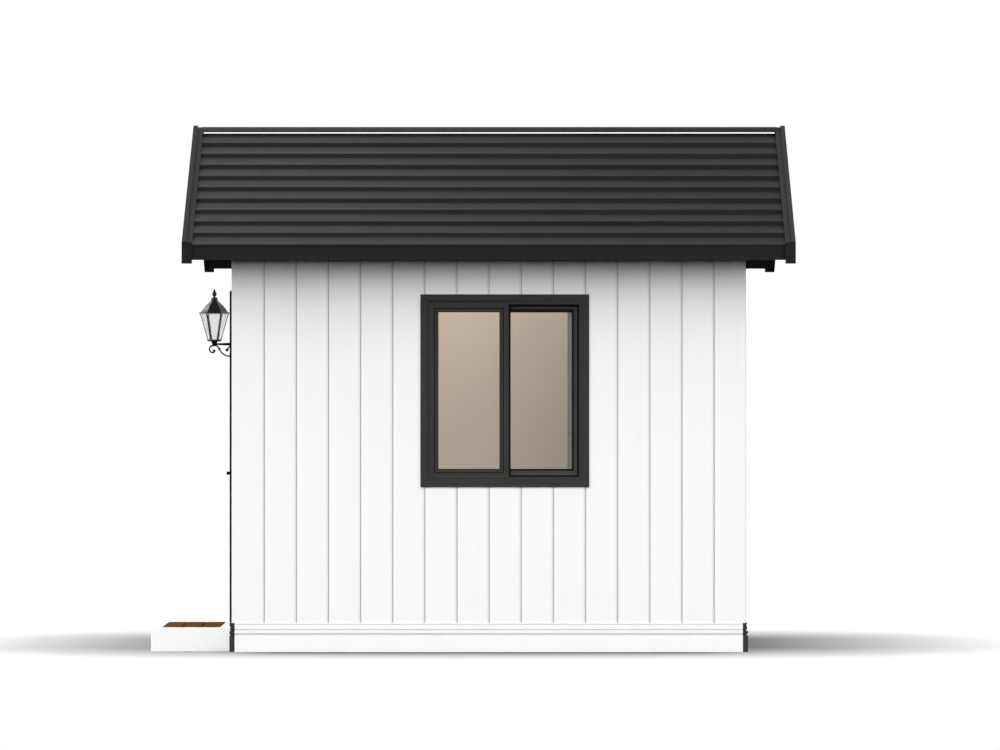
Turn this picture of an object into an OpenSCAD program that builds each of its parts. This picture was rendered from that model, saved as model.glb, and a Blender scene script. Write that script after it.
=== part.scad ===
// Modular garden house: insulated wall panels on a timber floor, a stepped sheet roof,
// a sliding window, a hinged entry door, a box step and a wall lantern.
// Millimetres. +X along the ridge, the door gable faces -X and the window wall faces -Y.
// The origin is on the ground, under the middle of the floor.

/* [Walls] */
// Outer length of the house along the ridge
house_l = 3200; // [2800:50:3800]
// Outer width of the house across the ridge
house_w = 3200; // [2800:50:3800]
// Thickness of an outer wall panel
wall_t = 100; // [80:2:130]
// Thickness of the inner lining boards
lining_t = 12; // [9:1:18]
// Width of one cladding board
board_w = 200; // [120:5:260]
// Width of the sloped shoulder before a board joint
joint_slope_w = 12; // [6:1:20]
// Width of the slot at a board joint
joint_slot_w = 6; // [4:0.5:10]
// Depth of the sloped shoulder
joint_slope_d = 3; // [1:0.5:5]
// Depth of the slot
joint_slot_d = 8; // [5:0.5:12]

/* [Floor and base] */
// Height of the floor timbers
timber_h = 128; // [100:2:160]
// Width of a floor timber
timber_w = 60; // [40:2:80]
// Number of floor joists, odd so that one lies in the middle
joist_count = 7; // [3:2:11]
// Thickness of the floor deck
deck_t = 22; // [18:1:30]
// Height of the base trim
trim_h = 180; // [170:1:200]
// How far the base trim stands out at its foot
trim_t = 14; // [10:0.5:20]
// Thickness of the base trim at its neck
trim_neck_t = 2; // [1.5:0.5:4]
// How far the top bead of the base trim stands out
trim_bead_t = 8; // [4.5:0.5:9]
// Height of the top bead of the base trim
trim_bead_h = 18; // [10:1:24]
// Height of the flat foot of the base trim
trim_foot_h = 129; // [110:1:140]
// Height of the groove in the foot
trim_groove_h = 14; // [6:1:16]
// Depth of the groove in the foot
trim_groove_d = 9; // [3:0.5:10]
// How far the corner pieces of the base trim reach along each wall
corner_w = 19; // [12:1:40]

/* [Roof] */
// Slope of the roof in degrees
roof_pitch = 22.5; // [18:0.5:30]
// Height of the roof's first nose, at the eave
eave_z = 2531; // [2440:1:2640]
// How far the eaves stand out from the long walls
eave_out = 280; // [200:5:340]
// How far the verges stand out from the gables
verge_out = 300; // [200:5:360]
// Length of one course of the stepped sheet, measured level
course_run = 182; // [150:1:220]
// Height of the step between two courses
riser_h = 25; // [15:1:35]
// Height of the sheet's drip lip over the fascia
lip_h = 10; // [6:1:16]
// How far the drip lip stands in front of the fascia
lip_out = 5; // [2:0.5:10]
// Upright depth of the roof panel below the line of its noses
panel_h = 96; // [75:1:100]
// Thickness of the fascia board
fascia_t = 25; // [16:1:35]
// How far the fascia reaches below the panel's lower edge
fascia_drop = 12; // [5:1:20]
// Thickness of the soffit board
soffit_t = 10; // [6:1:12]

/* [Verge and ridge] */
// Width of the verge trim's raised outer strip
barge_outer_w = 29; // [20:1:40]
// Width of the verge trim's inner strip, over the sheet
barge_inner_w = 34.5; // [24:0.5:50]
// How far the outer strip stands above the noses
barge_up = 18; // [10:1:26]
// How far the outer strip hangs below the noses
barge_down = 113; // [102:1:130]
// Thickness of the inner strip
barge_inner_t = 4; // [3:0.5:8]
// Thickness of the plumb plate that closes the trim at the eave
barge_plate_t = 15; // [8:1:20]
// Half width of the ridge cap's wings
cap_wing = 35; // [25:1:60]
// Half width of the ridge cap with its lips
cap_half = 50; // [40:1:90]
// Slope of the lips in degrees
cap_lip_slope = 40; // [30:1:50]
// Upright thickness of the ridge cap
cap_t = 3.5; // [2.5:0.5:5]
// How much thicker the middle length of the ridge cap is than its ends
cap_sleeve_t = 1.5; // [1:0.5:3]
// Length of the thinner end of the ridge cap
cap_end_l = 26; // [15:1:60]

/* [Window] */
// Middle of the window along the wall
win_x = 100; // [-200:5:200]
// Height of the window's lower edge
win_z = 1025; // [900:5:1200]
// Width of the window frame
win_w = 1050; // [800:10:1300]
// Height of the window frame
win_h = 1200; // [900:5:1200]
// How far the frame stands out from the wall
win_proud = 6; // [3:0.5:12]
// Width of the frame's flat face
win_face = 40; // [30:1:50]
// Depth of the step inside the flat face
win_step_d = 6; // [2:0.5:7]
// Distance of the fixed sash's pocket from the frame's left edge
win_face_left = 52; // [40:1:60]
// Distance of the inner track from the frame's right edge
win_face_right = 40; // [36:1:46]
// Distance of the tracks from the frame's top edge
win_face_top = 44; // [36:1:50]
// Distance of the tracks from the frame's lower edge
win_face_bottom = 54; // [40:1:58]
// Distance of the opening for the sliding sash from the frame's edges
win_cover = 63; // [60:1:75]
// Thickness of the rail between the two tracks
win_rail_t = 6; // [4:0.5:10]
// Thickness of a sash
sash_t = 34; // [30:1:38]
// Width of the fixed sash's face
sash_face = 31; // [26:1:44]
// Width of the bead round the glass
sash_bead = 22; // [10:1:26]
// Depth of the step from a sash's face to its bead
sash_step_d = 3; // [1:0.5:5]
// Width of the sliding sash's members
inner_margin = 45; // [38:1:60]
// How far the left sash reaches past the middle of the window
sash_overlap = 24; // [10:1:40]
// Running clearance of a sash in its track
sash_gap = 2; // [1:0.5:4]
// How far the sliding sash stops short of the track's end
inner_sash_gap = 10; // [4:1:12]
// Thickness of the glazing unit
glass_t = 14; // [10:1:16]
// How far the glass sits in the sash
glass_bite = 8; // [6:1:12]

/* [Door] */
// Distance of the door frame from the window wall's face
door_side = 220; // [180:5:280]
// Width of the door frame
door_w = 1000; // [860:10:1060]
// Height of the door frame
door_h = 2100; // [1950:10:2150]
// How far the door frame stands out from the wall
door_proud = 20; // [14:1:30]
// Depth of the door frame
door_frame_d = 78; // [76:1:84]
// Width of the jambs and the head
jamb_w = 50; // [40:1:70]
// Height of the threshold
threshold_h = 30; // [20:1:40]
// How far the frame's outer lip covers the leaf's gap
door_lip_w = 16; // [14:1:24]
// Thickness of the outer lip
door_lip_t = 13; // [10:1:13]
// Clearance between leaf and jambs
leaf_gap = 8; // [7:0.5:10]
// Clearance between leaf and outer lip
leaf_seal_gap = 5; // [5:0.5:8]
// Width of the leaf's stiles and rails
stile_w = 110; // [80:5:140]
// Height of the leaf's middle rail above its foot
mid_rail_z = 820; // [700:10:1000]
// Depth of the leaf's sunk panels
sunk_d = 6; // [4:1:10]
// Height of the lever above the ground
lever_z = 1100; // [1000:10:1250]
// Distance of the lever's neck from the leaf's free edge
lever_edge = 50; // [40:1:60]
// Length of the lever
lever_l = 120; // [100:5:140]
// Height of the lever bar
lever_h = 20; // [16:1:24]
// How far the lever reaches out from the leaf
lever_reach = 64; // [50:1:70]
// Radius of the hinge pins
pin_r = 4; // [3:0.5:5]
// Radius of the hinge knuckles
knuckle_r = 8; // [7:0.5:10]
// Length of one hinge
hinge_l = 100; // [70:2:120]
// Distance of the outer hinges from the leaf's ends
hinge_end = 200; // [150:10:300]

/* [Step] */
// Depth of the step, out from the house
step_d = 494; // [400:2:600]
// Width of the step, along the gable
step_w = 1200; // [1050:10:1280]
// Height of the step
step_h = 148; // [120:1:149]
// Thickness of the step's sides
step_side_t = 20; // [14:1:26]
// Width of a plank
plank_w = 111; // [90:1:130]
// Distance of the planks' ends from the step's sides
plank_inset = 45; // [30:1:120]
// Thickness of a plank
plank_t = 24; // [18:1:30]
// Gap between planks
plank_gap = 8; // [3:0.5:10]
// Number of planks
plank_count = 3; // [2:1:3]
// Chamfer of the step's upright corners
step_chamfer = 12; // [4:1:18]

/* [Lantern] */
// Distance of the lantern from the door frame
lamp_side = 230; // [180:5:300]
// Height of the lantern's arm
lamp_z = 1922; // [1850:1:1960]
// Distance of the lantern's axis from the wall
lamp_reach = 160; // [125:1:190]
// Corner radius of the lantern's body at the top
lamp_top_r = 95; // [80:1:110]
// Corner radius of the lantern's body at the foot
lamp_foot_r = 46; // [36:1:60]
// Height of the lantern's panes
lamp_pane_h = 166; // [140:1:200]
// Height of the lantern's roof below its finial
lamp_roof_h = 104; // [85:1:120]
// Width of the bars between the panes
lamp_bar = 9; // [6:0.5:12]
// Thickness of the panes
lamp_glass_t = 3; // [2:0.5:4]
// Half the width of the bracket's square bar
rod_r = 4.4; // [2.5:0.1:5]

/* [Hidden] */
$fn = 48;
// Length by which a cutting body runs past the face that it cuts.
over = 5;

half_l = house_l / 2;
half_w = house_w / 2;
floor_z = timber_h + deck_t;
inner_l = half_l - wall_t;
inner_w = half_w - wall_t;

roof_tan = tan(roof_pitch);
half_run = half_w + eave_out;
half_verge = half_l + verge_out;
sheet_half = half_verge - barge_outer_w;
course_count = floor(half_run / course_run) - 1;
tread_tan = roof_tan - riser_h / course_run;
fascia_face = half_run - lip_out;
fascia_back = fascia_face - fascia_t;
function nose_z(y) = eave_z + (half_run - abs(y)) * roof_tan;
function under_z(y) = nose_z(y) - panel_h;
lining_drop = lining_t / cos(roof_pitch);
ridge_seat_z = nose_z(0) + barge_inner_t;
sheet_apex_z = nose_z(half_run - course_count * course_run)
    + (half_run - course_count * course_run) * tread_tan;
fascia_z = round(under_z(fascia_back) - fascia_drop);

win_left = win_x - win_w / 2;
win_right = win_x + win_w / 2;
win_top = win_z + win_h;
win_face_y = -half_w - win_proud;
win_back_y = -inner_w + lining_t;
track_left = win_left + win_face_left;
track_right = win_right - win_face_right;
track_low = win_z + win_face_bottom;
track_top = win_top - win_face_top;
sash_set = 8;
outer_sash_y = win_face_y + sash_set;
rail_y = outer_sash_y + sash_t + sash_gap;
inner_sash_y = rail_y + win_rail_t + sash_gap;
inner_rail_y = inner_sash_y + sash_t + sash_gap;
sash_margin = sash_face + sash_bead;
glass_set = 1;
top_rail_extra = 8;
// how far the sliding sash's glass reaches behind the fixed sash
glass_tuck = 4;
sash_low = track_low + sash_gap;
sash_top = track_top - sash_gap;
outer_sash_left = track_left + sash_gap;
outer_sash_right = win_x + sash_overlap;
inner_sash_left = outer_sash_right - glass_tuck - inner_margin;
inner_sash_right = track_right - inner_sash_gap;

door_left = -half_w + door_side;
door_right = door_left + door_w;
door_y = door_left + door_w / 2;
door_top = floor_z + door_h;
door_face_x = -half_l - door_proud;
door_back_x = door_face_x + door_frame_d;
leaf_face_x = door_face_x + door_lip_t + leaf_seal_gap;
leaf_t = door_back_x - leaf_face_x;
leaf_low = floor_z + threshold_h + leaf_gap;
leaf_top = door_top - jamb_w - leaf_gap;
leaf_left = door_left + jamb_w + leaf_gap;
leaf_right = door_right - jamb_w - leaf_gap;
pin_fit = 0.05;
knuckle_stand = 2;
hinge_room = 2;
pin_x = door_back_x + knuckle_stand + knuckle_r;
pin_y = leaf_left - leaf_gap / 2;
hinge_plate_t = 3;
hinge_zs = [leaf_low + hinge_end, (leaf_low + leaf_top) / 2, leaf_top - hinge_end];

step_x = -half_l - trim_t - step_d;
plank_l = step_w - 2 * plank_inset;
plank_field = plank_count * plank_w + (plank_count - 1) * plank_gap;

lamp_x = -half_l - lamp_reach;
lamp_y = door_right + lamp_side;
lamp_neck_h = 16;
bead_r = 1.3 * rod_r;
bead_h = 2.6 * rod_r;
lamp_cup_h = 15;
lamp_foot_z = lamp_z + lamp_neck_h + lamp_cup_h;
lamp_rim_z = lamp_foot_z + lamp_pane_h;

// ---------- shared forms ----------

// A box between two corners.
module block(low, high) {
    translate(low) cube(high - low);
}

// An outline in the plane across the ridge, drawn out along the ridge from x0 to x1.
module along_ridge(points, x0, x1) {
    translate([x0, 0, 0]) rotate([90, 0, 90]) linear_extrude(x1 - x0) polygon(points);
}

// The piece and its twin on the other side of the middle plane.
module both_sides(axis) {
    children();
    mirror(axis) children();
}

// ---------- floor and base ----------

module floor_rails() {
    color("#b08d5c") both_sides([0, 1, 0])
        block([-half_l, -half_w, 0], [half_l, -half_w + timber_w, timber_h]);
}

module floor_joists() {
    span = house_l - timber_w;
    inner_y = half_w - timber_w;
    color("#b08d5c") for (i = [0 : joist_count - 1]) {
        x = -span / 2 + i * span / (joist_count - 1);
        block([x - timber_w / 2, -inner_y, 0], [x + timber_w / 2, inner_y, timber_h]);
    }
}

module floor_deck() {
    color("#a58a63") block([-half_l, -half_w, timber_h], [half_l, half_w, floor_z]);
}

// The base trim's section: how far it stands out, against height. From the ground up it has
// a foot with a groove, a neck, a bead, a shallow groove and a top lip.
// It runs back into the wall by the given depth.
function trim_section(depth) = let (
    foot_strip = 14,
    top_lip_h = 7,
    line_h = 13,
    line_d = 3,
    line_t = trim_bead_t - line_d,
    groove_top = trim_foot_h - foot_strip,
    groove_low = groove_top - trim_groove_h,
    lip_low = trim_h - top_lip_h,
    bead_top = lip_low - line_h,
    bead_low = bead_top - trim_bead_h
) [
    [-depth, 0], [trim_t, 0],
    [trim_t, groove_low], [trim_t - trim_groove_d, groove_low],
    [trim_t - trim_groove_d, groove_top], [trim_t, groove_top],
    [trim_t, trim_foot_h], [trim_neck_t, trim_foot_h],
    [trim_neck_t, bead_low], [trim_bead_t, bead_low],
    [trim_bead_t, bead_top], [line_t, bead_top], [line_t, lip_low], [trim_bead_t, lip_low],
    [trim_bead_t, trim_h], [-depth, trim_h]
];

// A length of trim on the near wall's side, from x0 to x1, for a wall whose face is at -face.
module trim_run(face, x0, x1, depth) {
    along_ridge([for (p = trim_section(depth)) [-face - p[0], p[1]]], x0, x1);
}

module base_trim_long_sides() {
    color("white") both_sides([0, 1, 0])
        trim_run(half_w, -half_l + corner_w, half_l - corner_w, 0);
}

module base_trim_gable_sides() {
    color("white") difference() {
        both_sides([1, 0, 0])
            rotate([0, 0, -90]) trim_run(half_l, -half_w + corner_w, half_w - corner_w, 0);
        block([-half_l - trim_t - over, door_left, floor_z], [0, door_right, trim_h + over]);
    }
}

module base_trim_corners() {
    reach = trim_t + corner_w;
    color("#3c3c3c") both_sides([1, 0, 0]) both_sides([0, 1, 0]) difference() {
        intersection() {
            trim_run(half_w, -half_l - trim_t, -half_l + corner_w, corner_w);
            rotate([0, 0, -90])
                trim_run(half_l, half_w - corner_w, half_w + trim_t, corner_w);
        }
        block([-half_l, -half_w, -over], [-half_l + reach, -half_w + reach, trim_h + over]);
    }
}

// ---------- walls ----------

// Everything under the roof panels and above the floor, lowered at the top by a drop.
module room_under_roof(half_x, half_y, drop) {
    along_ridge([
        [-half_y, floor_z], [half_y, floor_z],
        [half_y, under_z(half_y) - drop], [0, under_z(0) - drop], [-half_y, under_z(half_y) - drop]
    ], -half_x, half_x);
}

// A clad wall panel with mitred ends, in plan: its face lies on the X axis, from -half to half,
// and its back at wall_t.
module clad_plan(half) {
    joints = [for (u = [board_w : board_w : 2 * half - board_w / 2]) u - half];
    polygon(concat(
        [[-half, 0]],
        [for (u = joints) each [
            [u - joint_slope_w, 0], [u, joint_slope_d], [u, joint_slot_d],
            [u + joint_slot_w, joint_slot_d], [u + joint_slot_w, 0]
        ]],
        [[half, 0], [half - wall_t, wall_t], [-half + wall_t, wall_t]]
    ));
}

// A whole clad wall on the side given by its turn about Z, cut to the roof.
module clad_wall(turn, half, face) {
    intersection() {
        rotate([0, 0, turn]) translate([0, -face, 0])
            linear_extrude(nose_z(0)) clad_plan(half);
        room_under_roof(half_l, half_w, 0);
    }
}

module window_wall_part(x0, x1, z0, z1) {
    color("white") intersection() {
        clad_wall(0, half_l, half_w);
        block([x0, -half_w - over, z0], [x1, 0, z1]);
    }
}

module window_wall_left() {
    window_wall_part(-half_l, win_left, floor_z, nose_z(0));
}

module window_wall_right() {
    window_wall_part(win_right, half_l, floor_z, nose_z(0));
}

module window_wall_below() {
    window_wall_part(win_left, win_right, floor_z, win_z);
}

module window_wall_above() {
    window_wall_part(win_left, win_right, win_top, nose_z(0));
}

module far_wall() {
    color("white") clad_wall(180, half_l, half_w);
}

module back_wall() {
    color("white") clad_wall(90, half_w, half_l);
}

module front_wall_part(y0, y1, z0, z1) {
    color("white") intersection() {
        clad_wall(-90, half_w, half_l);
        block([-half_l - over, y0, z0], [0, y1, z1]);
    }
}

module front_wall_near_side() {
    front_wall_part(-half_w, door_left, floor_z, door_top);
}

module front_wall_far_side() {
    front_wall_part(door_right, half_w, floor_z, door_top);
}

module front_wall_above_door() {
    front_wall_part(-half_w, half_w, door_top, nose_z(0));
}

// A lining board on a long wall, before its openings are cut.
module long_lining() {
    color("#c6b49c") intersection() {
        block([-inner_l, -inner_w, floor_z], [inner_l, -inner_w + lining_t, nose_z(0)]);
        room_under_roof(inner_l, inner_w, lining_drop);
    }
}

// A lining board on the front gable, before its openings are cut.
module gable_lining() {
    half_y = inner_w - lining_t;
    color("#c6b49c") intersection() {
        block([-inner_l, -half_y, floor_z], [-inner_l + lining_t, half_y, nose_z(0)]);
        room_under_roof(inner_l, half_y, lining_drop);
    }
}

module lining_window_wall() {
    difference() {
        long_lining();
        block([win_left, -half_w, win_z], [win_right, 0, win_top]);
    }
}

module lining_far_wall() {
    mirror([0, 1, 0]) long_lining();
}

module lining_back_wall() {
    mirror([1, 0, 0]) gable_lining();
}

module lining_front_wall() {
    difference() {
        gable_lining();
        block([-half_l, door_left, floor_z - over], [0, door_right, door_top]);
    }
}

module ceiling_near() {
    color("#d2c2aa") along_ridge([
        [-inner_w, under_z(inner_w)], [0, under_z(0)],
        [0, under_z(0) - lining_drop], [-inner_w, under_z(inner_w) - lining_drop]
    ], -inner_l, inner_l);
}

module ceiling_far() {
    mirror([0, 1, 0]) ceiling_near();
}

// ---------- roof ----------

// The stepped sheet's noses and treads from the eave to the ridge, then the flat underside.
module roof_panel_near() {
    treads = [for (k = [0 : course_count - 1]) let (y = half_run - k * course_run) each [
        [-y, nose_z(y)], [-y + course_run, nose_z(y) + course_run * tread_tan]
    ]];
    last_y = half_run - course_count * course_run;
    color("#484848") along_ridge(concat(
        [[-half_run, eave_z - lip_h]],
        treads,
        [[-last_y, nose_z(last_y)], [0, sheet_apex_z], [0, under_z(0)]],
        [[-fascia_back, under_z(fascia_back)], [-fascia_back, eave_z - lip_h]]
    ), -sheet_half, sheet_half);
}

module roof_panel_far() {
    mirror([0, 1, 0]) roof_panel_near();
}

module ridge_cap() {
    wing_drop = cap_wing * roof_tan;
    lip_drop = (cap_half - cap_wing) * tan(cap_lip_slope);
    // Half of the cap's outline from the ridge outwards, raised by a height above its seat.
    function cap_side(up) = [
        [0, ridge_seat_z + up],
        [cap_wing, ridge_seat_z + up - wing_drop],
        [cap_half, ridge_seat_z + up - wing_drop - lip_drop]
    ];
    function cap_outline(top) = concat(
        cap_side(top), [for (i = [2 : -1 : 0]) cap_side(0)[i]],
        [for (i = [1 : 2]) [-cap_side(0)[i][0], cap_side(0)[i][1]]],
        [for (i = [2 : -1 : 1]) [-cap_side(top)[i][0], cap_side(top)[i][1]]]
    );
    color("#4a4a4a") union() {
        along_ridge(cap_outline(cap_t), -sheet_half, sheet_half);
        along_ridge(cap_outline(cap_t + cap_sleeve_t),
            -sheet_half + cap_end_l, sheet_half - cap_end_l);
    }
}

// One verge trim: the raised outer strip, the inner strip over the sheet with a notch for the
// ridge cap's lips, and the plumb plate at the eave.
module barge() {
    function strip(y0, y1, low, high) = [
        [-y0, nose_z(y0) + low], [-y0, nose_z(y0) + high],
        [-y1, nose_z(y1) + high], [-y1, nose_z(y1) + low]
    ];
    lip_room = 3;
    notch = cap_half + lip_room;
    inner_x = sheet_half - barge_inner_w;
    color("#4a4a4a") union() {
        along_ridge(strip(half_run, 0, -barge_down, barge_up), sheet_half, half_verge);
        along_ridge(strip(half_run, notch, 0, barge_inner_t), inner_x, sheet_half);
        along_ridge(strip(cap_wing, 0, 0, barge_inner_t), inner_x, sheet_half);
        plate_y = half_run + barge_plate_t;
        block([inner_x, -plate_y, nose_z(plate_y) - barge_down],
            [half_verge, -half_run, nose_z(plate_y) + barge_up]);
    }
}

module barge_back_near() {
    barge();
}

module barge_back_far() {
    mirror([0, 1, 0]) barge();
}

module barge_front_near() {
    mirror([1, 0, 0]) barge();
}

module barge_front_far() {
    mirror([1, 0, 0]) mirror([0, 1, 0]) barge();
}

module fascias() {
    color("#262626") both_sides([0, 1, 0])
        block([-sheet_half, -fascia_face, fascia_z], [sheet_half, -fascia_back, eave_z - lip_h]);
}

// The boxed eave: a level board and a triangular cheek at each gable.
module soffits() {
    cheek_t = soffit_t;
    color("#2a2a2a") both_sides([0, 1, 0]) union() {
        block([-half_l, -fascia_back, fascia_z], [half_l, -half_w, fascia_z + soffit_t]);
        both_sides([1, 0, 0]) along_ridge([
            [-fascia_back, fascia_z], [-fascia_back, under_z(fascia_back)],
            [-half_w, under_z(half_w)], [-half_w, fascia_z]
        ], half_l - cheek_t, half_l);
    }
}

// ---------- window ----------

module window_frame() {
    room_lip = 14;
    room_cover = win_cover + room_lip;
    color("#3a3a3a") difference() {
        block([win_left, win_face_y, win_z], [win_right, win_back_y, win_top]);
        // step inside the flat face
        block([win_left + win_face, win_face_y - over, win_z + win_face],
            [win_right - win_face, win_face_y + win_step_d, win_top - win_face]);
        // pocket of the fixed sash
        block([track_left, win_face_y - over, track_low],
            [outer_sash_right + sash_gap, rail_y, track_top]);
        // opening in front of the sliding sash
        block([win_left + win_cover, win_face_y - over, win_z + win_cover],
            [win_right - win_cover, inner_sash_y, win_top - win_cover]);
        // inner track
        block([track_left, rail_y + win_rail_t, track_low],
            [track_right, inner_rail_y, track_top]);
        // opening to the room
        block([win_left + room_cover, inner_sash_y, win_z + room_cover],
            [win_right - room_cover, win_back_y + over, win_top - room_cover]);
    }
}

// A sash ring with a sunk bead towards the glass, in front view from (x0, z0) to (x1, z1),
// its face at y and open to the glass between the four margins.
module sash(y, x0, x1, z0, z1, left, right, low, top) {
    difference() {
        block([x0, y, z0], [x1, y + sash_t, z1]);
        // sight opening
        block([x0 + left, y - over, z0 + low], [x1 - right, y + sash_t + over, z1 - top]);
        // glazing groove
        glass_pane(y, x0 + left, x1 - right, z0 + low, z1 - top);
        // step in front of the bead
        block([x0 + left - sash_bead, y - over, z0 + low - sash_bead],
            [x1 - right + sash_bead, y + sash_step_d, z1 - top + sash_bead]);
    }
}

// The glazing unit of a sash whose face is at y, for a sight opening from (x0, z0) to (x1, z1).
module glass_pane(y, x0, x1, z0, z1) {
    glass_y = y + (sash_t - glass_t) / 2 + glass_set;
    block([x0 - glass_bite, glass_y, z0 - glass_bite],
        [x1 + glass_bite, glass_y + glass_t, z1 + glass_bite]);
}

module window_sash_left() {
    color("#3a3a3a") sash(outer_sash_y, outer_sash_left, outer_sash_right, sash_low, sash_top,
        sash_margin, sash_margin, sash_margin, sash_margin + top_rail_extra);
}

module window_sash_right() {
    color("#3a3a3a") sash(inner_sash_y, inner_sash_left, inner_sash_right, sash_low, sash_top,
        inner_margin, inner_margin, inner_margin, inner_margin);
}

module window_glass() {
    color("#9fb3bd", 0.4) union() {
        glass_pane(outer_sash_y, outer_sash_left + sash_margin, outer_sash_right - sash_margin,
            sash_low + sash_margin, sash_top - sash_margin - top_rail_extra);
        glass_pane(inner_sash_y, inner_sash_left + inner_margin, inner_sash_right - inner_margin,
            sash_low + inner_margin, sash_top - inner_margin);
    }
}

// ---------- door ----------

module door_frame() {
    color("#3a3a3a") difference() {
        block([door_face_x, door_left, floor_z], [door_back_x, door_right, door_top]);
        // the leaf's pocket, open to the room
        block([door_face_x + door_lip_t, door_left + jamb_w, floor_z + threshold_h],
            [door_back_x + over, door_right - jamb_w, door_top - jamb_w]);
        // the clear way through the outer lip
        lip = jamb_w + door_lip_w;
        block([door_face_x - over, door_left + lip, floor_z + threshold_h + door_lip_w],
            [door_back_x, door_right - lip, door_top - lip]);
    }
}

module door_leaf() {
    // A sunk panel on both faces between two heights above the leaf's foot.
    module sunk(z0, z1) {
        for (x = [leaf_face_x - over, leaf_face_x + leaf_t - sunk_d])
            block([x, leaf_left + stile_w, z0], [x + sunk_d + over, leaf_right - stile_w, z1]);
    }
    rail_z = leaf_low + mid_rail_z;
    color("#3a3a3a") difference() {
        block([leaf_face_x, leaf_left, leaf_low], [leaf_face_x + leaf_t, leaf_right, leaf_top]);
        sunk(leaf_low + stile_w, rail_z);
        sunk(rail_z + stile_w, leaf_top - stile_w);
    }
}

// One lever set standing on a plane that faces -X: plate, neck and lever.
module lever_set() {
    plate_w = 36;
    plate_h = 210;
    plate_t = 8;
    neck_r = 9;
    bar_t = 14;
    union() {
        block([-plate_t, -plate_w / 2, -plate_h / 2], [0, plate_w / 2, plate_h / 2]);
        translate([-lever_reach + bar_t / 2, 0, 0]) rotate([0, 90, 0])
            cylinder(h = lever_reach - bar_t / 2, r = neck_r);
        block([-lever_reach, -lever_l, -lever_h / 2], [-lever_reach + bar_t, 0, lever_h / 2]);
        translate([-lever_reach, 0, 0]) rotate([0, 90, 0])
            cylinder(h = bar_t, r = lever_h / 2);
    }
}

module door_handle() {
    neck_y = leaf_right - lever_edge;
    color("silver") union() {
        translate([leaf_face_x, neck_y, lever_z]) lever_set();
        translate([leaf_face_x + leaf_t, neck_y, lever_z]) mirror([1, 0, 0]) lever_set();
    }
}

// Two end knuckles with the pin between them, and their flap on the jamb.
module door_hinge_pins() {
    third = hinge_l / 3;
    flap_in = 6;
    flap_y = door_left + flap_in;
    color("silver") for (z = hinge_zs) union() {
        for (low = [z - hinge_l / 2, z + hinge_l / 2 - third]) {
            translate([pin_x, pin_y, low]) cylinder(h = third, r = knuckle_r);
            block([door_back_x, flap_y, low], [pin_x, pin_y, low + third]);
        }
        block([door_back_x, flap_y, z - hinge_l / 2],
            [door_back_x + hinge_plate_t, pin_y - knuckle_r - hinge_room, z + hinge_l / 2]);
        translate([pin_x, pin_y, z - hinge_l / 2]) cylinder(h = hinge_l, r = pin_r);
    }
}

// The leaf's knuckles, which turn on the pins, and their flaps.
module door_hinge_knuckles() {
    third = hinge_l / 3;
    play = 0.5;
    flap_w = 40;
    color("silver") for (z = hinge_zs) difference() {
        union() {
            translate([pin_x, pin_y, z - third / 2 + play])
                cylinder(h = third - 2 * play, r = knuckle_r);
            block([door_back_x, leaf_left, z - third / 2 + play],
                [door_back_x + hinge_plate_t, leaf_left + flap_w, z + third / 2 - play]);
            block([door_back_x, pin_y, z - third / 2 + play],
                [pin_x, leaf_left + hinge_room, z + third / 2 - play]);
        }
        translate([pin_x, pin_y, z - hinge_l / 2]) cylinder(h = hinge_l, r = pin_r + pin_fit);
    }
}

// ---------- step ----------

module entry_step() {
    x1 = -half_l - trim_t;
    y0 = door_y - step_w / 2;
    y1 = door_y + step_w / 2;
    pocket_x = (step_x + x1 - plank_field) / 2 - plank_gap;
    under_plank = 18;
    slab_h = plank_t + under_plank;
    color("white") difference() {
        linear_extrude(step_h) polygon([
            [x1, y0], [x1, y1], [step_x + step_chamfer, y1], [step_x, y1 - step_chamfer],
            [step_x, y0 + step_chamfer], [step_x + step_chamfer, y0]
        ]);
        block([step_x + step_side_t, y0 + step_side_t, -over],
            [x1 - step_side_t, y1 - step_side_t, step_h - slab_h]);
        block([pocket_x, door_y - plank_l / 2 - plank_gap, step_h - plank_t],
            [pocket_x + plank_field + 2 * plank_gap, door_y + plank_l / 2 + plank_gap,
             step_h + over]);
    }
}

module step_planks() {
    x0 = (step_x - half_l - trim_t - plank_field) / 2;
    color("#6b4a30") for (i = [0 : plank_count - 1]) {
        x = x0 + i * (plank_w + plank_gap);
        block([x, door_y - plank_l / 2, step_h - plank_t],
            [x + plank_w, door_y + plank_l / 2, step_h]);
    }
}

// ---------- lantern ----------

// A six-sided turned form on the lantern's axis, from an outline of radius and height.
module hex_turned(outline) {
    translate([lamp_x, lamp_y, 0]) rotate_extrude($fn = 6) polygon(outline);
}

// A square bar that runs from the origin along +X through a list of stretches and ends in an eye:
// [radius, sweep] is an arc, to the left where the sweep is positive, and [0, length] is straight.
// A small forged bead joins each stretch to the next.
module bar_path(stretches, eye_r) {
    if (len(stretches) > 0) {
        r = stretches[0][0];
        sweep = stretches[0][1];
        side = sweep > 0 ? 1 : -1;
        rest = [for (i = [1 : 1 : len(stretches) - 1]) stretches[i]];
        end_r = len(rest) > 0 ? bead_r : eye_r;
        if (r == 0) {
            translate([0, -rod_r, -rod_r]) cube([sweep, 2 * rod_r, 2 * rod_r]);
            translate([sweep, 0, 0]) bar_joint(rest, end_r, eye_r);
        } else translate([0, side * r, 0]) {
            rotate([0, 0, sweep > 0 ? -90 : 90 + sweep])
                rotate_extrude(angle = abs(sweep))
                    translate([r, 0]) square(2 * rod_r, center = true);
            rotate([0, 0, sweep]) translate([0, -side * r, 0]) bar_joint(rest, end_r, eye_r);
        }
    }
}
module bar_joint(rest, end_r, eye_r) {
    translate([0, 0, -bead_h / 2]) cylinder(h = bead_h, r = end_r);
    bar_path(rest, eye_r);
}
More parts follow.
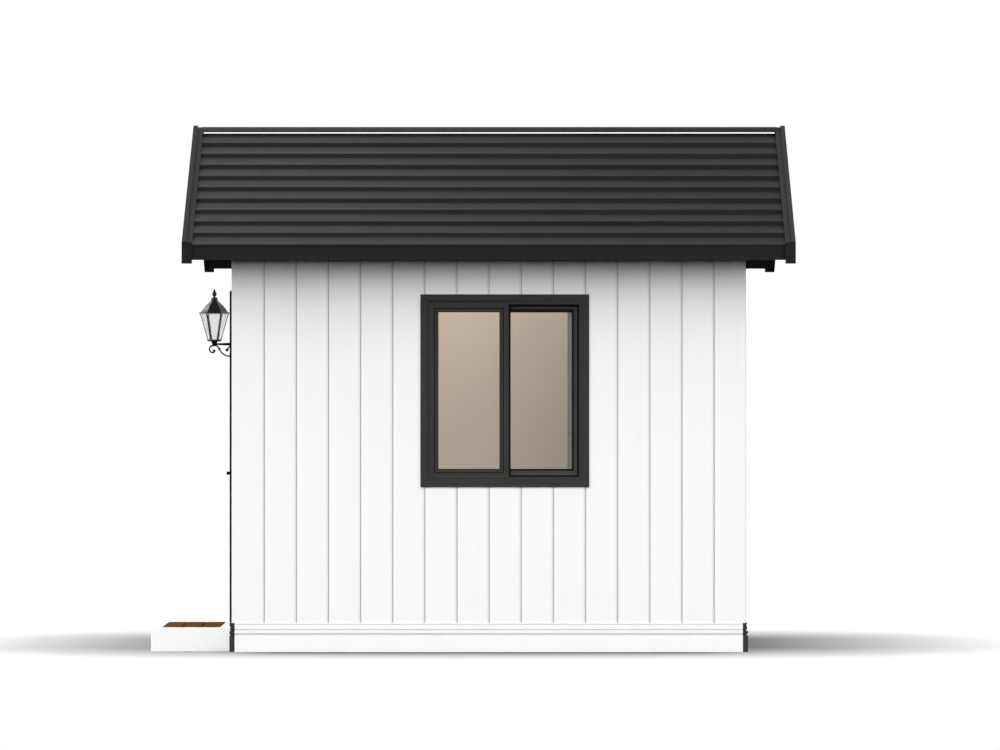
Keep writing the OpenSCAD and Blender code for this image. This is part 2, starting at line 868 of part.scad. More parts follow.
module in_bracket_plane(out, up) {
    translate([-half_l - out, lamp_y, lamp_z + up]) rotate([90, 0, 0]) children();
}

module lantern_bracket() {
    plate_t = 8;
    plate_w = 50;
    plate_low = 110;
    plate_up = 40;
    arm_tip_r = 5;
    arm_root_r = 12;
    neck_r = 14;
    neck_rim_r = 19;
    neck_low = 6;
    // where both scrolls leave the arm, under the neck
    bar_drop = 8;
    front_scroll = [[45, 25], [22, 155], [9, 110]];
    front_eye_r = 9;
    // the sweep back to the wall: down to a knot, then up to the foot
    knot_turn = 70;
    knot_bend_r = 33.5;
    knot_r = 8;
    sweep_r = 70;
    sweep_end = lamp_reach - (knot_bend_r + sweep_r) * sin(knot_turn);
    // the sweep's foot is let into the plate and stays this far off the wall
    foot_clear = 1;
    // the small scroll beside the wall
    small_out = 35;
    small_drop = 3;
    small_lean = 190;
    small_scroll = [[60, 55]];
    small_eye_r = 10;
    color("#1c1c1c") union() {
        block([-half_l - plate_t, lamp_y - plate_w / 2, lamp_z - plate_low],
            [-half_l, lamp_y + plate_w / 2, lamp_z + plate_up]);
        // tapering arm
        translate([lamp_x, lamp_y, lamp_z]) rotate([0, 90, 0])
            cylinder(h = lamp_reach - plate_t / 2, r1 = arm_tip_r, r2 = arm_root_r);
        translate([lamp_x, lamp_y, lamp_z - neck_low])
            cylinder(h = neck_low + lamp_neck_h, r1 = neck_r, r2 = neck_rim_r);
        in_bracket_plane(lamp_reach, -bar_drop) {
            rotate([0, 0, 180]) bar_path(front_scroll, front_eye_r);
            bar_path([[knot_bend_r, -knot_turn]], knot_r);
            bar_joint([], bead_r, bead_r);
        }
        in_bracket_plane(lamp_reach - knot_bend_r * sin(knot_turn),
            -bar_drop - knot_bend_r * (1 - cos(knot_turn))) rotate([0, 0, -knot_turn])
            bar_path([[sweep_r, knot_turn], [0, sweep_end - rod_r - foot_clear]], rod_r);
        in_bracket_plane(small_out, -small_drop) rotate([0, 0, small_lean])
            bar_path(small_scroll, small_eye_r);
    }
}

module lantern_roof() {
    shell = 3;
    rise = lamp_roof_h;
    crown_r = 10;
    // The bell's outline from rim to crown, as radius and height above the rim.
    bell = [[103, 0], [98, 4], [83, 12], [76, 24], [66, 38], [53, 52], [38, 66],
        [26, 78], [20, 92], [19, rise - shell]];
    // The finial's outline, as radius and height above the crown.
    finial = [[0, -2], [6, -2], [5, 2], [10, 8], [15, 14], [14, 22], [9, 36], [3, 50], [0, 54]];
    inner = [for (i = [len(bell) - 2 : -1 : 1]) [bell[i][0] - shell, bell[i][1] - shell]];
    color("#1c1c1c") union() {
        translate([0, 0, lamp_rim_z]) hex_turned(concat(
            bell, [[crown_r, rise], [0, rise], [0, rise - 3 * shell]],
            inner, [[lamp_top_r - 2 * shell, 0]]
        ));
        translate([lamp_x, lamp_y, lamp_rim_z + rise]) rotate_extrude() polygon(finial);
    }
}

module lantern_cage() {
    rim_t = 4;
    edge = 1;
    sunk_in = 3;
    foot_r = lamp_foot_r - lamp_bar / 2 - edge;
    top_r = lamp_top_r - lamp_bar / 2 - edge;
    rise = lamp_pane_h + 2;
    lean = atan((top_r - foot_r) / rise);
    // The cup's outline under the panes, as radius and height below the foot.
    cup = [[0, -lamp_cup_h], [22, -lamp_cup_h], [lamp_foot_r - 6, -13], [lamp_foot_r, -10],
        [lamp_foot_r, 0], [0, 0]];
    color("#1c1c1c") union() {
        // six corner bars, from inside the cup to inside the rim
        for (a = [0 : 60 : 300])
            translate([lamp_x, lamp_y, lamp_foot_z - sunk_in]) rotate([0, 0, a])
                translate([foot_r, 0, 0]) rotate([0, lean, 0])
                    linear_extrude(rise / cos(lean)) square(lamp_bar, center = true);
        // rim under the roof
        translate([lamp_x, lamp_y, lamp_rim_z - rim_t]) difference() {
            cylinder(h = rim_t, r = lamp_top_r, $fn = 6);
            translate([0, 0, -edge])
                cylinder(h = rim_t + 2 * edge, r = top_r - lamp_bar / 2, $fn = 6);
        }
        translate([0, 0, lamp_foot_z]) hex_turned(cup);
    }
}

module lantern_glass() {
    // the panes stand just inside the corner bars and the rim
    inside = 6;
    inset = lamp_bar + inside;
    color("#e6e6e6", 0.6) hex_turned([
        [lamp_foot_r - inset, lamp_foot_z], [lamp_top_r - inset, lamp_rim_z],
        [lamp_top_r - inset - lamp_glass_t, lamp_rim_z],
        [lamp_foot_r - inset - lamp_glass_t, lamp_foot_z]
    ]);
}

floor_rails();
floor_joists();
floor_deck();
base_trim_long_sides();
base_trim_gable_sides();
base_trim_corners();
window_wall_left();
window_wall_right();
window_wall_below();
window_wall_above();
far_wall();
back_wall();
front_wall_near_side();
front_wall_far_side();
front_wall_above_door();
lining_window_wall();
lining_far_wall();
lining_back_wall();
lining_front_wall();
ceiling_near();
ceiling_far();
roof_panel_near();
roof_panel_far();
ridge_cap();
barge_front_near();
barge_front_far();
barge_back_near();
barge_back_far();
fascias();
soffits();
window_frame();
window_sash_left();
window_sash_right();
window_glass();
door_frame();
door_leaf();
door_handle();
door_hinge_pins();
door_hinge_knuckles();
entry_step();
step_planks();
lantern_bracket();
lantern_roof();
lantern_cage();
lantern_glass();
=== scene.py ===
# %% [markdown]
# # Dressing a modular garden house
# The house is a small factory-built cabin: clad wall panels on a timber floor, a dark stepped
# sheet roof, a sliding window, an entry door with a box step, and a lantern on the gable.
# Its shape was measured and built in CAD, and comes in here as a frame that nothing may move.
# This lesson gives each piece its finish, adds the fittings that are too fine for the CAD
# model, and sets up the studio.

import math

import bmesh
import bpy
from mathutils import Matrix, Vector


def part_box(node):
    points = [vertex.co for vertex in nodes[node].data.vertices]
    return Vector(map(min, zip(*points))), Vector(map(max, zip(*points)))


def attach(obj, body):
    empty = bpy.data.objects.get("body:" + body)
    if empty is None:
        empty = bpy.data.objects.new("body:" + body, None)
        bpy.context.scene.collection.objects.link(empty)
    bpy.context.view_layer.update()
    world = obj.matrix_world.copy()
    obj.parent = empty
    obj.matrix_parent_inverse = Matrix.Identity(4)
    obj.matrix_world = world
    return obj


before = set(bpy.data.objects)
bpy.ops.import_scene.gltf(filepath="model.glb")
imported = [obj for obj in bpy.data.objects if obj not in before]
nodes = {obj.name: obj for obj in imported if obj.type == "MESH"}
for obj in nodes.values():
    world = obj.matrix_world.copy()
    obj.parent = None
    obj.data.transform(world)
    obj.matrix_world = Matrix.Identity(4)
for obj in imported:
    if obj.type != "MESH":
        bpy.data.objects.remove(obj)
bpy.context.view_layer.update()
print("pieces in the frame:", len(nodes))

# %% [markdown]
# ## A view from far away
# Catalogues of houses are often drawn almost without perspective, so that upright edges stay
# upright and the eaves look level. An orthographic camera would do that exactly, but it would
# also hide the little that perspective shows, such as the top of the step. A very long lens
# fifty metres away, at the height of an eye, keeps both.

# %% Set up the camera
lens_data = bpy.data.cameras.new("long_lens")
lens_data.lens = 282.3
lens_data.sensor_width = 36.0
lens_data.clip_end = 2000.0
camera = bpy.data.objects.new("long_lens", lens_data)
camera.location = (0.07, -50.4, 1.673)
aim = Vector((0.07, -1.6, 1.723)) - camera.location
camera.rotation_euler = aim.to_track_quat("-Z", "Y").to_euler()
bpy.context.scene.collection.objects.link(camera)
bpy.context.scene.camera = camera
print("camera to window wall:", round(aim.length, 2), "m")

# %% [markdown]
# ## Shader maths in plain Python
# A finish is a small network of nodes, and most of them only add or multiply. Written node by
# node, a network is hard to read. Here a socket is wrapped in a class whose signs of
# arithmetic add the Math nodes, so that a finish reads like the sum that it is. Every other
# node comes from one method, which takes the settings first and the sockets after them.


# %% Wrap a socket
class Wire:
    """A socket of a node tree that can be added, subtracted and multiplied."""

    def __init__(self, tree, socket=None):
        self.tree = tree
        self.socket = socket

    def node(self, kind, settings=None, sockets=None, output=0):
        """Makes a node from its type, its settings, and its sockets' values or links."""
        made = self.tree.nodes.new(kind)
        for name, value in (settings or {}).items():
            setattr(made, name, value)
        for name, value in (sockets or {}).items():
            if isinstance(value, Wire):
                self.tree.links.new(value.socket, made.inputs[name])
            else:
                made.inputs[name].default_value = value
        return Wire(self.tree, made.outputs[output])

    def maths(self, operation, first, second):
        """Adds a Math node for two numbers or wires."""
        return self.node("ShaderNodeMath", {"operation": operation}, {0: first, 1: second})

    def __add__(self, other):
        return self.maths("ADD", self, other)

    def __radd__(self, other):
        return self.maths("ADD", other, self)

    def __sub__(self, other):
        return self.maths("SUBTRACT", self, other)

    def __rsub__(self, other):
        return self.maths("SUBTRACT", other, self)

    def __mul__(self, other):
        return self.maths("MULTIPLY", self, other)

    def __rmul__(self, other):
        return self.maths("MULTIPLY", other, self)

    def at_least(self, other):
        return self.maths("MAXIMUM", self, other)


# %% [markdown]
# ## Noise, ramps and blends
# Real coatings vary a little everywhere: powder coat has the skin of an orange, boards differ
# in tone, rain leaves dust low on a wall. Image textures could show all that, but they need
# files and a flat layout of every face. Noise that is worked out from the place in the house,
# in metres, needs neither and stays at its true scale.


# %% Helpers for patterns
def noise(place, size, stretch=(1, 1, 1), detail=3.0, sharp=0.5):
    """Noise from 0 to 1 whose features measure about size metres, times the stretch."""
    steps = tuple(1 / (size * along) for along in stretch)
    scaled = place.node("ShaderNodeVectorMath", {"operation": "MULTIPLY"}, {0: place, 1: steps})
    return place.node("ShaderNodeTexNoise", None, {
        "Vector": scaled, "Scale": 1.0, "Detail": detail, "Roughness": sharp})


def ramp(value, low, high):
    """Rises smoothly from 0 at low to 1 at high, and falls if low is above high."""
    return value.node("ShaderNodeMapRange", {"interpolation_type": "SMOOTHSTEP"}, {
        "Value": value, "From Min": low, "From Max": high})


# A Mix node has its own sockets for each type of data, and these are the ones for colours.
MIX_SHARE, MIX_FIRST, MIX_SECOND, MIX_RESULT = 0, 6, 7, 2


def blend(first, second, share):
    """The first colour, with a share of the second from 0 to 1."""
    wire = next(part for part in (share, first, second) if isinstance(part, Wire))
    opaque = [part if isinstance(part, Wire) else (*part, 1.0) for part in (first, second)]
    return wire.node("ShaderNodeMix", {"data_type": "RGBA"}, {
        MIX_SHARE: share, MIX_FIRST: opaque[0], MIX_SECOND: opaque[1]}, output=MIX_RESULT)


def size_of(value):
    """A number without its sign."""
    return value.node("ShaderNodeMath", {"operation": "ABSOLUTE"}, {0: value})


def axis(place, letter):
    """One coordinate of a place."""
    return place.node("ShaderNodeSeparateXYZ", None, {0: place}, output="XYZ".index(letter))


def grey(tone):
    """A colour with the same amount of red, green and blue."""
    return (tone, tone, tone)


# %% [markdown]
# ## What a finish is
# Each finish is one Principled shader. Numbers that hold all over, such as how strongly it
# mirrors, sit on the shader itself. Colour, roughness and relief follow the patterns. Relief
# goes through a Bump node whose distance is the real height of the grain in metres.


# %% Make finishes
class Finish:
    """A material with one Principled shader, and the place and the facing to draw patterns from."""

    def __init__(self, name, **fixed):
        self.material = bpy.data.materials.new(name)
        self.material.use_nodes = True
        self.tree = self.material.node_tree
        self.shader = self.tree.nodes["Principled BSDF"]
        self.place = Wire(self.tree).node("ShaderNodeTexCoord", output="Object")
        self.facing = Wire(self.tree, self.place.socket.node.outputs["Normal"])
        for socket, value in fixed.items():
            self.shader.inputs[socket.replace("_", " ")].default_value = value

    def link(self, socket, wire):
        """Lets a pattern drive one socket of the shader."""
        self.tree.links.new(wire.socket, self.shader.inputs[socket])

    def relief(self, height, distance, over=None):
        """Adds relief of the given height in metres, on top of another relief if there is one."""
        sockets = {"Height": height, "Distance": distance}
        if over:
            sockets["Normal"] = over
        wire = height.node("ShaderNodeBump", None, sockets)
        self.link("Normal", wire)
        return wire


def dress(names, finish, round_edges=0.0):
    """Gives CAD nodes their finish, and their sharp edges a small round."""
    for name in names:
        piece = nodes[name]
        for slot in piece.material_slots:
            slot.material = finish.material
        if round_edges:
            soften(piece, round_edges)
    print(finish.material.name, "on", ", ".join(names))


def soften(piece, width):
    """Rounds the sharp edges of a piece with a Bevel modifier."""
    bevel = piece.modifiers.new("soft_edges", "BEVEL")
    bevel.width = width
    bevel.segments = 2
    bevel.limit_method = "ANGLE"
    bevel.angle_limit = math.radians(40)


# %% [markdown]
# ## The wall cladding
# The walls are insulated panels skinned in pre-painted white sheet, folded into wide boards.
# The folds are real grooves in the CAD. What is left is the skin: a satin white with a fine
# orange peel, boards that belly very slightly, faint upright streaks from rain, and a breath
# of dust above the base. Each effect stays within a few percent, or the wall stops being new.
# The joints are the exception. They get painted shade: the colour greys with the depth below
# the face of the wall, which all four walls share. A fine grey line of painted shade runs down
# the corners where the two long walls meet the back gable.

# %% Finish the cladding
cladding = Finish("clad_white", Specular_IOR_Level=0.1)
wall_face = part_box("far_wall")[1].y
grain = noise(cladding.place, 0.0035, detail=2.0)
belly = noise(cladding.place, 0.45, (1, 1, 3), detail=1.0)
streaks = noise(cladding.place, 0.03, (1, 1, 26), detail=3.0)
dust = ramp(axis(cladding.place, "Z"), 0.75, 0.18) * noise(cladding.place, 0.12, detail=5.0)
painted = blend((0.92, 0.92, 0.917), (0.88, 0.88, 0.872), ramp(streaks, 0.45, 0.85) * 0.35)
dusty = blend(painted, (0.70, 0.68, 0.64), dust * 0.12)

# %% Paint shade in the joints and down the back corners
joint_shade_grey = grey(0.55)
long_side = size_of(axis(cladding.place, "Y"))
depth = wall_face - size_of(axis(cladding.place, "X")).at_least(long_side)
# Painted shade: the joints grey with their depth below the face of the wall.
near_face = ramp(depth, 0.020, 0.012)
shoulder_shade = ramp(depth, 0.0001, 0.0006) * near_face
slot = ramp(depth, 0.0030, 0.0036) * near_face
# Painted shade: a fine grey line down the two back corners of the walls.
corner_shade_edge, corner_shade_core = wall_face - 0.0035, wall_face - 0.0025
back_corner_shade = ramp(axis(cladding.place, "X"), corner_shade_edge, corner_shade_core) * ramp(long_side, corner_shade_edge, corner_shade_core)
joint_shaded = blend(blend(dusty, (0.82, 0.82, 0.815), shoulder_shade), joint_shade_grey, slot)
cladding.link("Base Color", blend(joint_shaded, joint_shade_grey, back_corner_shade))
cladding.link("Roughness", 0.42 + 0.14 * noise(cladding.place, 0.02))
cladding.relief(grain, 0.00012, cladding.relief(belly, 0.0012))
walls = [name for name in nodes if "_wall" in name and not name.startswith("lining")]
dress(walls, cladding, 0.0006)

# %% [markdown]
# ## White trim
# The base trim and the box of the step are extruded board, painted white. The paint is a
# little smoother than the cladding, and the lowest hand's breadth picks up splashes. The level
# ledges of the trim are darkened, as dust and as painted shade in its grooves; the step is not.


# %% Finish the white trim
def white_paint(name, ledge_dust_and_shade):
    """White trim paint, with splashes low down and a share of dust and painted shade on every level
    ledge.
    """
    paint = Finish(name, Specular_IOR_Level=0.1)
    spots = noise(paint.place, 0.035, detail=6.0, sharp=0.65)
    splash = ramp(axis(paint.place, "Z"), 0.10, 0.0) * spots
    mottle = noise(paint.place, 0.18, (1.6, 1.6, 1), detail=4.0)
    painted = blend((0.93, 0.93, 0.927), (0.91, 0.91, 0.90), mottle)
    splashed = blend(painted, (0.62, 0.60, 0.56), ramp(splash, 0.35, 0.80) * 0.15)
    # Dust and painted shade on the level ledges, which sit in the trim's grooves.
    ledge = ramp(axis(paint.facing, "Z"), 0.5, 0.9) * ledge_dust_and_shade
    paint.link("Base Color", blend(splashed, (0.24, 0.23, 0.22), ledge))
    paint.link("Roughness", 0.34 + 0.16 * noise(paint.place, 0.015))
    paint.relief(noise(paint.place, 0.006, detail=2.0), 0.00015)
    return paint


trim_paint = white_paint("trim_paint_white", 0.9)
dress(["base_trim_long_sides", "base_trim_gable_sides"], trim_paint, 0.0008)
dress(["entry_step"], white_paint("step_paint_white", 0.0), 0.0015)

# %% [markdown]
# ## Dark metal
# Roof trims, corner caps and the window are aluminium in an anthracite powder coat. Powder
# melts into a matt skin with a very fine pebble to it. Dark coats show the sky more than
# their own colour, so they get a weak mirror and most of the work is in the roughness. The
# frame of the door and its lever are black. The sliding sash stands deeper in the shade of
# the frame, so its coat is painted lighter, as painted light against that shade.


# %% Powder coats
def powder_coat(name, colour, worn, rough, mirror=0.14):
    """An anthracite powder coat: its colour, its tone where it has chalked, its roughness."""
    coat = Finish(name, Specular_IOR_Level=mirror)
    chalk = noise(coat.place, 0.25, detail=5.0)
    speck = noise(coat.place, 0.0022, detail=1.0)
    tone = blend(colour, worn, ramp(chalk, 0.35, 0.80))
    glint = tuple(1.9 * part for part in worn)
    coat.link("Base Color", blend(tone, glint, ramp(speck, 0.62, 0.85)))
    coat.link("Roughness", rough + 0.12 * chalk)
    coat.relief(speck, 0.00010)
    return coat


# %% Coat the window, the door and the roof trims
joinery = powder_coat("joinery_anthracite", grey(0.033), (0.039, 0.039, 0.038), rough=0.42)
# Painted light: the sliding sash's coat is lighter to make up for the shade it stands in.
sliding_sash_lightened_coat = powder_coat("sliding_sash_anthracite", grey(0.052), (0.060, 0.060, 0.059), rough=0.42)
frame_coat = powder_coat("door_frame_black", grey(0.004), grey(0.007), rough=0.60, mirror=0.02)
leaf_coat = powder_coat("door_anthracite", (0.024, 0.024, 0.025), (0.030, 0.030, 0.031), rough=0.38)
lever_coat = powder_coat("lever_black", grey(0.004), grey(0.007), rough=0.30, mirror=0.10)
roof_trim = powder_coat("roof_trim_anthracite", grey(0.010), (0.014, 0.014, 0.0135), rough=0.52)
barges = [name for name in nodes if name.startswith("barge")]
dress(["window_frame", "window_sash_left", "base_trim_corners"], joinery, 0.0012)
dress(["window_sash_right"], sliding_sash_lightened_coat, 0.0012)
dress(["door_frame"], frame_coat, 0.0012)
dress(["door_leaf"], leaf_coat, 0.002)
dress(["door_handle"], lever_coat, 0.0008)
dress(barges + ["fascias"], roof_trim, 0.0012)

# %% [markdown]
# ## The stepped roof sheet
# The sheet is pressed into long level steps, so that it looks like courses of tiles. The steps
# are in the CAD. Its coat is a textured one: tiny hard grains scatter the light, and rain draws
# faint streaks down the slope. The risers are darker than the treads, with painted shade.
# Towards the back gable the sheet is darker, with painted shade. A hand's breadth below the
# ridge cap is darker too, with painted shadow from the cap.

# %% Finish the roof
roof = Finish("roof_textured_coat", Specular_IOR_Level=0.2)
grit = noise(roof.place, 0.0028, detail=2.0, sharp=0.7)
rain = noise(roof.place, 0.05, (1, 12, 6), detail=4.0)
rained = blend((0.0195, 0.0195, 0.0192), (0.028, 0.0275, 0.027), rain)
# Painted shade: the sheet darkens towards the back gable.
painted_shade_towards_back = ramp(axis(roof.place, "X"), -1.8, 1.6)
tone = blend(rained, (0.0085, 0.0084, 0.0082), painted_shade_towards_back * 0.9)
flecked = blend(tone, (0.045, 0.044, 0.043), ramp(grit, 0.60, 0.80) * 0.6)
# Painted shade on the risers, which face sideways rather than up.
riser_painted_shade = ramp(axis(roof.facing, "Z"), 0.75, 0.45)
stepped = blend(flecked, (0.0112, 0.0111, 0.0110), riser_painted_shade * 0.95)

# %% Paint the shadow below the ridge cap
cap_low, cap_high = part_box("ridge_cap")
# Painted shadow from the ridge cap on the strip below it.
below_cap = size_of(axis(roof.place, "Y")) - cap_high.y
cap_painted_shadow = ramp(below_cap, 0.0, 0.004) * ramp(below_cap, 0.085, 0.005)
roof.link("Base Color", blend(stepped, grey(0.004), cap_painted_shadow * 0.85))
roof.link("Roughness", 0.62 + 0.2 * noise(roof.place, 0.2))
roof.relief(grit, 0.00025, roof.relief(noise(roof.place, 0.6, (1, 0.4, 0.4), detail=1.0), 0.0015))
dress(["roof_panel_near", "roof_panel_far"], roof, 0.003)
dress(["ridge_cap"], roof, 0.0012)

# %% [markdown]
# ## Under the eaves
# The soffit is dark board in the colour of the trims, with a seam every 600 mm. It gives the
# wall below it no light back, which is why the shade under the eaves is so deep. A wave that
# runs to and fro along the board is zero at every seam, so thin dark lines are cut from it.

# %% Finish the soffit
soffit = Finish("soffit_board", Specular_IOR_Level=0.08)
board_length = 0.6
from_seam = soffit.place.maths("PINGPONG", axis(soffit.place, "X"), board_length / 2)
seam = ramp(from_seam, 0.0025, 0.0010)
board = blend(grey(0.005), grey(0.009), noise(soffit.place, 0.3, detail=4.0))
soffit.link("Base Color", blend(board, grey(0.002), seam))
soffit.link("Roughness", 0.5 + 0.15 * noise(soffit.place, 0.01))
soffit.relief(1 - seam, 0.0015)
dress(["soffits"], soffit, 0.001)

# %% [markdown]
# ## The room
# The room is lined with board in a warm beige, papered with a fine woven texture. It shows
# through the window, so it gets its own finish with painted light and shade: paler low down,
# as painted daylight, and deeper towards the back gable, as painted shade. The ceiling is the
# same board.

# %% Finish the lining
lining = Finish("lining_beige", Specular_IOR_Level=0.2)
weave = noise(lining.place, 0.004, (1, 1, 2.5), detail=3.0, sharp=0.6)
cloud = noise(lining.place, 0.5, detail=2.0)
beige = blend((0.595, 0.500, 0.412), (0.565, 0.478, 0.397), cloud)
# Painted light low down and painted shade towards the back gable.
low_down = ramp(axis(lining.place, "Z"), 2.25, 0.95)
far_in = ramp(axis(lining.place, "X"), -0.25, 0.55)
painted_daylight = blend(beige, (0.635, 0.575, 0.500), low_down)
shaded = blend(painted_daylight, (0.44, 0.40, 0.35), far_in * 0.7)
lining.link("Base Color", blend(shaded, (0.47, 0.40, 0.335), ramp(weave, 0.42, 0.78) * 0.25))
lining.link("Roughness", 0.62 + 0.2 * weave)
lining.relief(weave, 0.0002)
dress([name for name in nodes if name.startswith(("lining", "ceiling"))], lining)

# %% [markdown]
# ## Wood
# Three woods are used: sawn pine for the floor frame, pale board for the deck, and brown
# stained planks in the step. All three are the same recipe with other numbers. Long thin
# noise makes the fibres, a wave bent by noise makes the growth rings, and both are drawn out
# along the grain.


# %% Finish the timber
def wood(name, pale, dark, grain_axis, ring, rough, stain=0.0):
    """A wood whose grain runs along one axis, with rings of the given spacing in metres."""
    made = Finish(name, Specular_IOR_Level=0.0)
    stretch = tuple(30 if letter == grain_axis else 1 for letter in "XYZ")
    fibre = noise(made.place, 0.0016, stretch, detail=4.0, sharp=0.65)
    bend = noise(made.place, 0.09, tuple(max(1, 0.3 * side) for side in stretch), detail=2.0)
    across = "X" if grain_axis == "Y" else "Y"
    turns = (axis(made.place, across) + axis(made.place, "Z") * 0.6 + bend * 0.09) * (1 / ring)
    rings = turns.maths("PINGPONG", turns, 1.0)
    tone = blend(pale, dark, rings * 0.45 + fibre * 0.55)
    weather = noise(made.place, 0.12, tuple(max(1, 0.1 * side) for side in stretch))
    darkest = tuple(0.55 * part for part in dark)
    made.link("Base Color", blend(tone, darkest, ramp(weather, 0.5, 0.9) * stain))
    made.link("Roughness", rough + 0.2 * fibre)
    made.relief(fibre * 0.7 + rings * 0.3, 0.0004)
    return made


sapwood, heartwood = (0.56, 0.41, 0.24), (0.38, 0.25, 0.13)
deck_pale, deck_dark = (0.50, 0.38, 0.25), (0.40, 0.29, 0.18)
brown_pale, brown_dark = (0.138, 0.076, 0.035), (0.073, 0.036, 0.017)
pine = wood("sawn_pine", sapwood, heartwood, "Y", ring=0.009, rough=0.6, stain=0.3)
rail_pine = wood("sawn_pine_rails", sapwood, heartwood, "X", ring=0.009, rough=0.6, stain=0.3)
deck = wood("deck_board", deck_pale, deck_dark, "X", ring=0.014, rough=0.5)
plank = wood("stained_plank", brown_pale, brown_dark, "Y", ring=0.007, rough=0.6, stain=0.4)
dress(["floor_joists"], pine, 0.002)
dress(["floor_rails"], rail_pine, 0.002)
dress(["floor_deck"], deck, 0.001)
dress(["step_planks"], plank, 0.003)

# %% [markdown]
# ## Steel, cast iron and glass
# The hinges are brushed stainless steel, so their roughness runs in fine level lines. The
# lantern is cast aluminium painted black: a satin coat over the faint dimples of the casting.
# Its forged bracket is duller. The bars of its cage are burnished, the ring at the foot is
# dark, and the outer faces of the bars are dark with painted shade. An outer face looks out
# along one of the six corners, and the cosine of six times its angle, written as a sum of
# powers, finds them all.
# The lantern's panes are slightly milky. The window has clear double glazing with a grey tint.


# %% Finish the metalwork
steel = Finish("brushed_steel", Metallic=1.0)
brush = noise(steel.place, 0.0006, (30, 30, 1), detail=2.0)
steel.link("Base Color", blend((0.56, 0.56, 0.55), grey(0.42), brush))
steel.link("Roughness", 0.26 + 0.2 * brush)
steel.relief(brush, 0.00004)
dress(["door_hinge_pins", "door_hinge_knuckles"], steel, 0.0008)


def cast_iron(name, mirror, rough):
    """Black paint over the faint dimples of a casting."""
    made = Finish(name, Specular_IOR_Level=mirror)
    dimple = noise(made.place, 0.006, detail=3.0)
    rubbed = noise(made.place, 0.02, detail=6.0, sharp=0.7)
    made.link("Base Color", blend(grey(0.004), (0.020, 0.019, 0.018), ramp(rubbed, 0.60, 0.85)))
    made.link("Roughness", rough + 0.2 * rubbed)
    made.relief(dimple, 0.00025)
    return made


iron = cast_iron("lantern_black", mirror=0.40, rough=0.26)
dress(["lantern_roof"], iron, 0.0012)
forged = cast_iron("bracket_black", mirror=0.04, rough=0.60)
dress(["lantern_bracket"], forged, 0.0008)

# %% Finish the cage
burnished = Finish("cage_burnished", Metallic=1.0)
handled = noise(burnished.place, 0.02, detail=6.0, sharp=0.7)
above_foot = axis(burnished.place, "Z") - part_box("lantern_cage")[0].z
foot_ring = ramp(above_foot, 0.014, 0.010)
squared = axis(burnished.facing, "X") * axis(burnished.facing, "X")
sixfold = squared * (squared * (squared * 32 - 48) + 18) - 1
# Painted shade on the outer faces of the bars, found by their facing.
outer_face_painted_shade = ramp(sixfold, -0.4, 0.0)
bars = blend((0.44, 0.43, 0.42), (0.30, 0.29, 0.28), handled)
burnished.link("Base Color", blend(bars, grey(0.02), foot_ring.at_least(outer_face_painted_shade)))
burnished.link("Roughness", 0.16 + 0.14 * handled)
burnished.relief(noise(burnished.place, 0.006, detail=3.0), 0.0001)
dress(["lantern_cage"], burnished, 0.0008)

# %% Finish the lantern's panes
frosted = Finish("lantern_pane", Transmission_Weight=0.93, IOR=1.2)
mist = noise(frosted.place, 0.012, detail=5.0)
frosted.link("Base Color", blend((0.975, 0.97, 0.965), (0.96, 0.955, 0.95), mist))
frosted.link("Roughness", 0.10 + 0.06 * mist)
frosted.relief(noise(frosted.place, 0.004), 0.00003)
dress(["lantern_glass"], frosted)

# %% Finish the window's panes
glazing = Finish("window_glazing", Transmission_Weight=1.0, IOR=1.45)
film = noise(glazing.place, 0.2, detail=4.0)
glazing.link("Base Color", blend((0.95, 0.965, 0.96), (0.93, 0.945, 0.94), film))
glazing.link("Roughness", 0.01 + 0.02 * film)
dress(["window_glass"], glazing)

# %% [markdown]
# ## Small pieces from outlines
# The fittings are too fine for the CAD model, but they are what makes a window look glazed and
# a step look screwed down. Nearly all of them are one of three forms: an outline that runs
# round a rectangle with mitred corners, such as a gasket, one that runs straight, such as a
# plate, or one turned round an axis, such as a screw. Three helpers make those from lists of
# points. A fourth turns the result into a piece that rides on a body of the house, so that it
# follows the door when that opens.


# %% Run an outline round a rectangle
def run_round(shape, corners, outline, out):
    """Outline points are (in from the rectangle's edge, out from its plane)."""
    loops = []
    for i, corner in enumerate(corners):
        inward = (corners[i - 3] - corner).normalized() + (corners[i - 1] - corner).normalized()
        loops.append([shape.verts.new(corner + inward * a + out * b) for a, b in outline])
    for i in range(4):
        for j in range(len(outline)):
            here, there = loops[i], loops[i - 3]
            k = (j + 1) % len(outline)
            shape.faces.new((here[j], there[j], there[k], here[k]))


def rectangle(x, y, z):
    """The corners of an upright rectangle: one of x and y is a number, the others are pairs."""
    if isinstance(y, tuple):
        return [Vector((x, y[i], z[j])) for i, j in ((0, 0), (1, 0), (1, 1), (0, 1))]
    return [Vector((x[i], y, z[j])) for i, j in ((0, 0), (1, 0), (1, 1), (0, 1))]


# %% Run an outline along a straight line
def run_straight(shape, outlines):
    """Skins two like outlines of points, one at each end, and closes both ends."""
    ends = [[shape.verts.new(point) for point in outline] for outline in outlines]
    count = len(ends[0])
    for i in range(count):
        j = (i + 1) % count
        shape.faces.new((ends[0][i], ends[0][j], ends[1][j], ends[1][i]))
    shape.faces.new(ends[0])
    shape.faces.new(ends[1])


